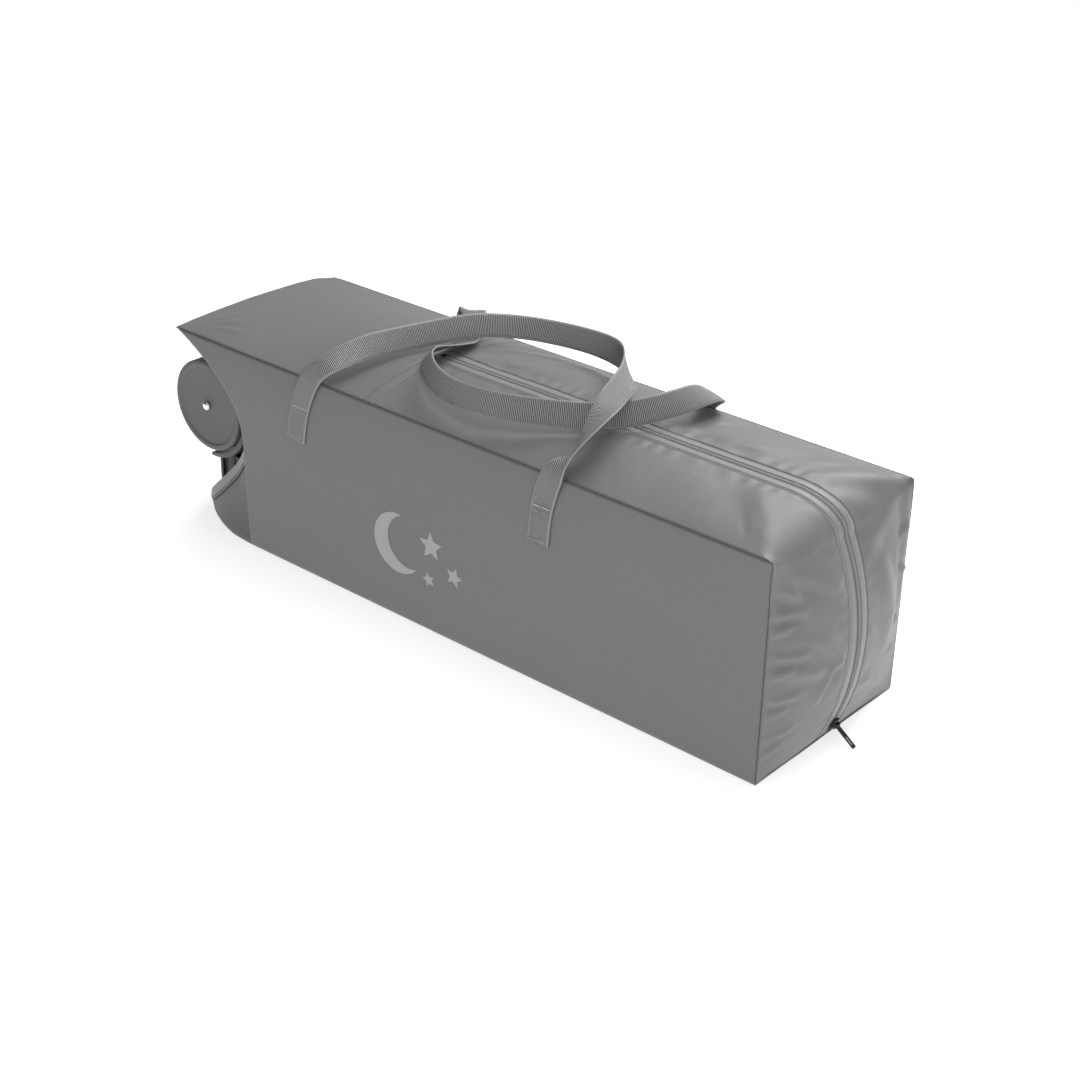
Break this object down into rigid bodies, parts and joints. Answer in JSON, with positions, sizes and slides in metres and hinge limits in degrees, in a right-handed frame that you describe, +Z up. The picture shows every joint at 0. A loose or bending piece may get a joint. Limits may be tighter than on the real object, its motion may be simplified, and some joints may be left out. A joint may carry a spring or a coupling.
{
  "type": "playpen",
  "caption": "Folding playpen packed in its zipped carry bag, with wheels at one end and two webbing carry handles.",
  "frame": {"origin": "centre of the resting face, on the floor, midway between the end seams of the bag", "axes": "+X along the bag towards the zip end, wheels at -X; -Y towards the printed side; +Z up"},
  "size_m": [0.8977, 0.255, 0.3074],
  "materials": {
    "bag_cloth": "woven polyester, faint sheen",
    "binding": "folded hem",
    "zip_tape": "woven tape",
    "zip_coil": "moulded coil",
    "zip_metal": "black enamel",
    "webbing": "ribbed webbing",
    "frame_tube": "powder coated tube",
    "frame_plastic": "moulded",
    "mattress_cloth": "quilted polyester over board",
    "side_mesh": "mesh and cloth",
    "wheel_plastic": "moulded",
    "wheel_tread": "moulded",
    "axle_steel": "turned",
    "cap_chrome": "domed",
    "bracket_plastic": "moulded",
    "foot_plastic": "moulded"
  },
  "bodies": {
    "bag": {"axle_cap_back": "cap_chrome", "axle_cap_front": "cap_chrome", "bag_back_panel": "bag_cloth", "bag_bottom_panel": "bag_cloth", "bag_end_flap_back": "bag_cloth", "bag_end_flap_front": "bag_cloth", "bag_flap_hem_back": "binding", "bag_flap_hem_front": "binding", "bag_front_panel": "bag_cloth", "bag_gusset_back": "bag_cloth", "bag_gusset_front": "bag_cloth", "bag_top_rear_panel": "bag_cloth", "base_tubes": "frame_tube", "centre_hub": "frame_plastic", "corner_cap_back_high": "frame_plastic", "corner_cap_back_low": "frame_plastic", "corner_cap_front_high": "frame_plastic", "corner_cap_front_low": "frame_plastic", "handle_back_ends": "webbing", "handle_front_ends": "webbing", "leg_tube_back_high": "frame_tube", "leg_tube_back_low": "frame_tube", "leg_tube_front_high": "frame_tube", "leg_tube_front_low": "frame_tube", "long_rail_back": "frame_tube", "long_rail_front": "frame_tube", "long_rail_latch_back": "frame_plastic", "long_rail_latch_front": "frame_plastic", "low_foot_back": "foot_plastic", "low_foot_front": "foot_plastic", "mattress_panel_back": "mattress_cloth", "mattress_panel_bottom": "mattress_cloth", "mattress_panel_front": "mattress_cloth", "mattress_panel_top": "mattress_cloth", "short_rail_high": "frame_tube", "short_rail_latch_high": "frame_plastic", "short_rail_latch_low": "frame_plastic", "short_rail_low": "frame_tube", "side_fabric": "side_mesh", "wheel_axle_back": "axle_steel", "wheel_axle_front": "axle_steel", "wheel_bracket_back": "bracket_plastic", "wheel_bracket_front": "bracket_plastic", "zip_bottom_stop": "zip_metal", "zip_coil": "zip_coil", "zip_tape_back": "zip_tape", "zip_tape_front": "zip_tape", "zip_top_stop": "zip_metal"},
    "wheel_front": {"wheel_disc_front": "wheel_plastic", "wheel_tyre_front": "wheel_tread"},
    "wheel_back": {"wheel_disc_back": "wheel_plastic", "wheel_tyre_back": "wheel_tread"},
    "zip_slider": {"zip_slider": "zip_metal"},
    "zip_pull": {"zip_pull": "zip_metal"},
    "handle_front": {"handle_front": "webbing"},
    "handle_back": {"handle_back": "webbing"}
  },
  "joints": [
    {"name": "wheel_front_spin", "type": "hinge", "parent": "bag", "child": "wheel_front", "pos_m": [-0.387, -0.097, 0.151], "axis": [0, 1, 0], "continuous": true},
    {"name": "wheel_back_spin", "type": "hinge", "parent": "bag", "child": "wheel_back", "pos_m": [-0.387, 0.097, 0.151], "axis": [0, 1, 0], "continuous": true},
    {"name": "zip_travel", "type": "hinge", "parent": "bag", "child": "zip_slider", "pos_m": [0.19704, 0, 0.116], "axis": [0, -1, 0], "range_deg": [0, 44]},
    {"name": "zip_pull_swing", "type": "hinge", "parent": "zip_slider", "child": "zip_pull", "pos_m": [0.43254, 0, 0.01687], "axis": [0, -1, 0], "range_deg": [0, 105]},
    {"name": "handle_front_lift", "type": "hinge", "parent": "bag", "child": "handle_front", "pos_m": [0, -0.1232, 0.2475], "axis": [1, 0, 0], "range_deg": [0, 90]},
    {"name": "handle_back_lift", "type": "hinge", "parent": "bag", "child": "handle_back", "pos_m": [0, 0.1232, 0.2475], "axis": [-1, 0, 0], "range_deg": [0, 45]}
  ],
  "couplings": [
    {"joint": "handle_back_lift", "follows": "handle_front_lift", "ratio": 0.5}
  ]
}
